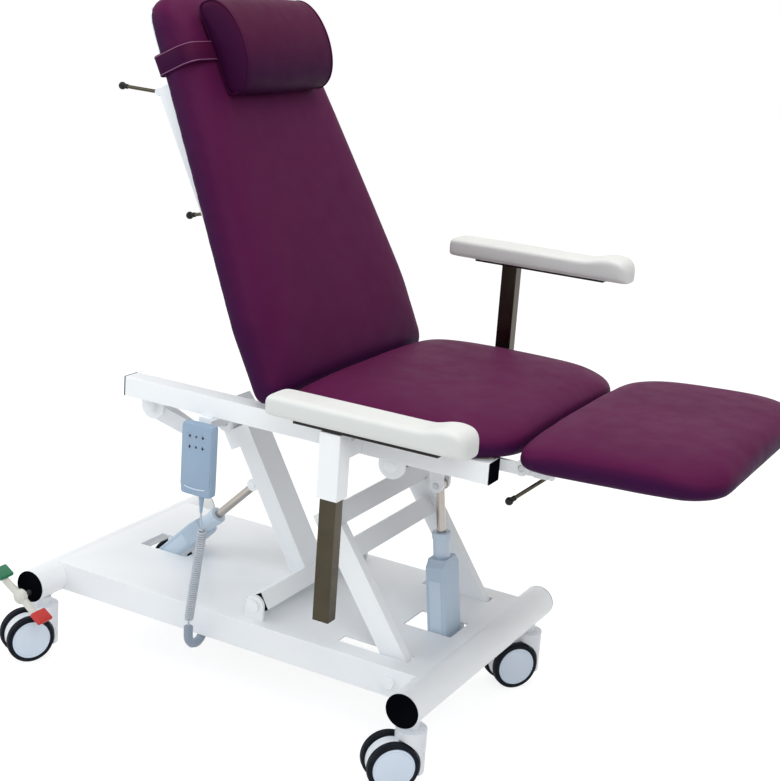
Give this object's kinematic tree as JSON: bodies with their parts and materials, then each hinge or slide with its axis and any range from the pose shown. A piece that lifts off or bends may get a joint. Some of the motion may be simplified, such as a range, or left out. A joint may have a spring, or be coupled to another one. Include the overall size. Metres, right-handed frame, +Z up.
{
  "type": "electric recliner chair",
  "caption": "Treatment recliner on castors: padded seat, reclining back and leg rest on a powered parallelogram lift, with sliding arms, head pillow and corded handset.",
  "frame": {"origin": "on the floor, under the middle of the chair's outline", "axes": "+X towards the leg rest, +Y towards the sitter's left, +Z up"},
  "size_m": [1.6991, 0.864, 1.5811],
  "materials": {
    "white_coat": "satin powder coat",
    "pin_steel": "zinc plated",
    "bright_rod": "polished",
    "lever_bronze": "dark plated",
    "black_plug": "gloss",
    "castor_white": "gloss",
    "tyre_dark": "matt",
    "brake_cream": "satin",
    "plum_vinyl": "soft vinyl over foam",
    "birch_board": "raw plywood",
    "ivory_pad": "moulded foam skin",
    "dark_plate": "black coat",
    "pale_case": "fine texture",
    "key_grey": "satin",
    "cord_grey": "satin"
  },
  "bodies": {
    "base": {"front_tube": "white_coat", "rear_tube": "white_coat", "tube_end_caps": "black_plug", "tray": "white_coat", "base_lugs": "white_coat", "base_pivot_pins": "pin_steel", "control_box": "pale_case", "cord_socket": "black_plug", "handset_cord": "cord_grey", "cord_elbow": "cord_grey"},
    "brake": {"brake_pedal": "brake_cream"},
    "lift_link": {"lift_arm": "white_coat", "lift_cross_tube": "white_coat", "cross_tube_caps": "black_plug"},
    "leg_link": {"front_legs": "white_coat", "leg_top_beam": "white_coat"},
    "seat_frame": {"seat_rails": "white_coat", "rail_caps": "black_plug", "seat_cross_tubes": "white_coat", "frame_brackets": "white_coat", "rear_yoke": "white_coat", "seat_pivot_pins": "pin_steel", "arm_sleeves": "white_coat", "seat_board": "birch_board", "seat_cushion": "plum_vinyl", "handset_hook": "white_coat", "handset_case": "pale_case", "gas_spring_cylinders": "dark_plate"},
    "near_arm": {"near_arm_post": "bright_rod", "near_arm_plate": "dark_plate", "near_arm_pad": "ivory_pad"},
    "far_arm": {"far_arm_post": "bright_rod", "far_arm_plate": "dark_plate", "far_arm_pad": "ivory_pad"},
    "back": {"back_frame": "white_coat", "back_cushion": "plum_vinyl"},
    "headrest": {"head_pillow": "plum_vinyl"},
    "leg_rest": {"leg_rest_frame": "white_coat", "leg_rest_cushion": "plum_vinyl"},
    "front_actuator_case": {"front_actuator_case": "pale_case"},
    "front_actuator_rod": {"front_actuator_rod": "bright_rod"},
    "rear_actuator_case": {"rear_actuator_case": "pale_case"},
    "rear_actuator_rod": {"rear_actuator_rod": "bright_rod"},
    "upper_back_lever": {"upper_back_lever": "lever_bronze"},
    "lower_back_lever": {"lower_back_lever": "lever_bronze"},
    "leg_rest_lever": {"leg_rest_lever": "lever_bronze"},
    "back_spring_rod": {"back_spring_rod": "bright_rod"},
    "leg_spring_rod": {"leg_spring_rod": "bright_rod"},
    "handset_key_1": {"handset_key_1": "key_grey"},
    "handset_key_2": {"handset_key_2": "key_grey"},
    "handset_key_3": {"handset_key_3": "key_grey"},
    "handset_key_4": {"handset_key_4": "key_grey"},
    "castor_front_near": {"castor_front_near_housing": "castor_white"},
    "wheels_front_near": {"castor_front_near_wheels": "tyre_dark"},
    "castor_front_far": {"castor_front_far_housing": "castor_white"},
    "wheels_front_far": {"castor_front_far_wheels": "tyre_dark"},
    "castor_rear_near": {"castor_rear_near_housing": "castor_white"},
    "wheels_rear_near": {"castor_rear_near_wheels": "tyre_dark"},
    "castor_rear_far": {"castor_rear_far_housing": "castor_white"},
    "wheels_rear_far": {"castor_rear_far_wheels": "tyre_dark"}
  },
  "joints": [
    {"name": "lift", "type": "hinge", "parent": "base", "child": "lift_link", "pos_m": [-0.183, 0, 0.26], "axis": [0, 1, 0], "range_deg": [-28, 0], "deforming": ["handset_cord"]},
    {"name": "leg_swing", "type": "hinge", "parent": "base", "child": "leg_link", "pos_m": [0.182, 0, 0.194], "axis": [0, 1, 0], "range_deg": [-28, 0]},
    {"name": "seat_level", "type": "hinge", "parent": "lift_link", "child": "seat_frame", "pos_m": [-0.41177, 0, 0.59662], "axis": [0, 1, 0], "range_deg": [0, 28]},
    {"name": "front_case_swing", "type": "hinge", "parent": "base", "child": "front_actuator_case", "pos_m": [0.182, 0, 0.19], "axis": [0, 1, 0], "range_deg": [-31, 0]},
    {"name": "front_rod_swing", "type": "hinge", "parent": "seat_frame", "child": "front_actuator_rod", "pos_m": [0.138, 0, 0.56], "axis": [0, 1, 0], "range_deg": [-31, 0]},
    {"name": "rear_case_swing", "type": "hinge", "parent": "base", "child": "rear_actuator_case", "pos_m": [-0.614, 0, 0.18], "axis": [0, 1, 0], "range_deg": [0, 3.3]},
    {"name": "rear_rod_swing", "type": "hinge", "parent": "lift_link", "child": "rear_actuator_rod", "pos_m": [-0.345, 0, 0.448], "axis": [0, 1, 0], "range_deg": [0, 31.3]},
    {"name": "swivel_front_near", "type": "hinge", "parent": "base", "child": "castor_front_near", "pos_m": [0.262, -0.297, 0.19], "axis": [0, 0, 1], "continuous": true},
    {"name": "roll_front_near", "type": "hinge", "parent": "castor_front_near", "child": "wheels_front_near", "pos_m": [0.23179, -0.32618, 0.0565], "axis": [0.6947, -0.7193, 0], "continuous": true},
    {"name": "swivel_front_far", "type": "hinge", "parent": "base", "child": "castor_front_far", "pos_m": [0.262, 0.297, 0.19], "axis": [0, 0, 1], "continuous": true},
    {"name": "roll_front_far", "type": "hinge", "parent": "castor_front_far", "child": "wheels_front_far", "pos_m": [0.23614, 0.2639, 0.0565], "axis": [0.788, -0.6157, 0], "continuous": true},
    {"name": "swivel_rear_near", "type": "hinge", "parent": "base", "child": "castor_rear_near", "pos_m": [-0.743, -0.297, 0.19], "axis": [0, 0, 1], "continuous": true},
    {"name": "roll_rear_near", "type": "hinge", "parent": "castor_rear_near", "child": "wheels_rear_near", "pos_m": [-0.764, -0.33337, 0.0565], "axis": [0.866, -0.5, 0], "continuous": true},
    {"name": "swivel_rear_far", "type": "hinge", "parent": "base", "child": "castor_rear_far", "pos_m": [-0.743, 0.297, 0.19], "axis": [0, 0, 1], "continuous": true},
    {"name": "roll_rear_far", "type": "hinge", "parent": "castor_rear_far", "child": "wheels_rear_far", "pos_m": [-0.78247, 0.28264, 0.0565], "axis": [0.342, -0.9397, 0], "continuous": true},
    {"name": "brake_rock", "type": "hinge", "parent": "base", "child": "brake", "pos_m": [-0.743, 0, 0.176], "axis": [0, 1, 0], "range_deg": [-60, 0]},
    {"name": "near_arm_height", "type": "slide", "parent": "seat_frame", "child": "near_arm", "axis": [0, 0, 1], "range_m": [0, 0.22]},
    {"name": "far_arm_height", "type": "slide", "parent": "seat_frame", "child": "far_arm", "axis": [0, 0, 1], "range_m": [-0.22, 0]},
    {"name": "recline", "type": "hinge", "parent": "seat_frame", "child": "back", "pos_m": [-0.133, 0, 0.774], "axis": [0, 1, 0], "range_deg": [-63.5, 0]},
    {"name": "back_spring_swing", "type": "hinge", "parent": "back", "child": "back_spring_rod", "pos_m": [-0.18246, -0.06, 0.69407], "axis": [0, 1, 0], "range_deg": [0, 63.5]},
    {"name": "leg_rest_tilt", "type": "hinge", "parent": "seat_frame", "child": "leg_rest", "pos_m": [0.44, 0, 0.738], "axis": [0, 1, 0], "range_deg": [0, 65]},
    {"name": "leg_spring_swing", "type": "hinge", "parent": "leg_rest", "child": "leg_spring_rod", "pos_m": [0.46149, 0.08, 0.70426], "axis": [0, 1, 0], "range_deg": [-65, 0]},
    {"name": "headrest_height", "type": "slide", "parent": "back", "child": "headrest", "axis": [-0.4462, 0, 0.8949], "range_m": [0, 0.08]},
    {"name": "upper_lever_pull", "type": "hinge", "parent": "back", "child": "upper_back_lever", "pos_m": [-0.49815, -0.2225, 1.36742], "axis": [0, 1, 0], "range_deg": [0, 10], "stiffness_Nm_per_rad": 1},
    {"name": "lower_lever_pull", "type": "hinge", "parent": "back", "child": "lower_back_lever", "pos_m": [-0.37366, -0.17, 1.11773], "axis": [0, 1, 0], "range_deg": [0, 10], "stiffness_Nm_per_rad": 1},
    {"name": "leg_lever_pull", "type": "hinge", "parent": "leg_rest", "child": "leg_rest_lever", "pos_m": [0.47128, -0.196, 0.70934], "axis": [-0.731, 0.6816, -0.0319], "range_deg": [0, 8], "stiffness_Nm_per_rad": 1},
    {"name": "key_press_1", "type": "slide", "parent": "seat_frame", "child": "handset_key_1", "axis": [0, 1, 0], "range_m": [0, 0.0009], "stiffness_N_per_m": 400},
    {"name": "key_press_2", "type": "slide", "parent": "seat_frame", "child": "handset_key_2", "axis": [0, 1, 0], "range_m": [0, 0.0009], "stiffness_N_per_m": 400},
    {"name": "key_press_3", "type": "slide", "parent": "seat_frame", "child": "handset_key_3", "axis": [0, 1, 0], "range_m": [0, 0.0009], "stiffness_N_per_m": 400},
    {"name": "key_press_4", "type": "slide", "parent": "seat_frame", "child": "handset_key_4", "axis": [0, 1, 0], "range_m": [0, 0.0009], "stiffness_N_per_m": 400}
  ],
  "couplings": [
    {"joint": "leg_swing", "follows": "lift", "ratio": 1},
    {"joint": "seat_level", "follows": "lift", "ratio": -1},
    {"joint": "front_case_swing", "follows": "lift", "ratio": 1.088},
    {"joint": "front_rod_swing", "follows": "lift", "ratio": 1.088},
    {"joint": "rear_case_swing", "follows": "lift", "ratio": -0.113},
    {"joint": "rear_rod_swing", "follows": "lift", "ratio": -1.113},
    {"joint": "back_spring_swing", "follows": "recline", "ratio": -1},
    {"joint": "leg_spring_swing", "follows": "leg_rest_tilt", "ratio": -1}
  ]
}
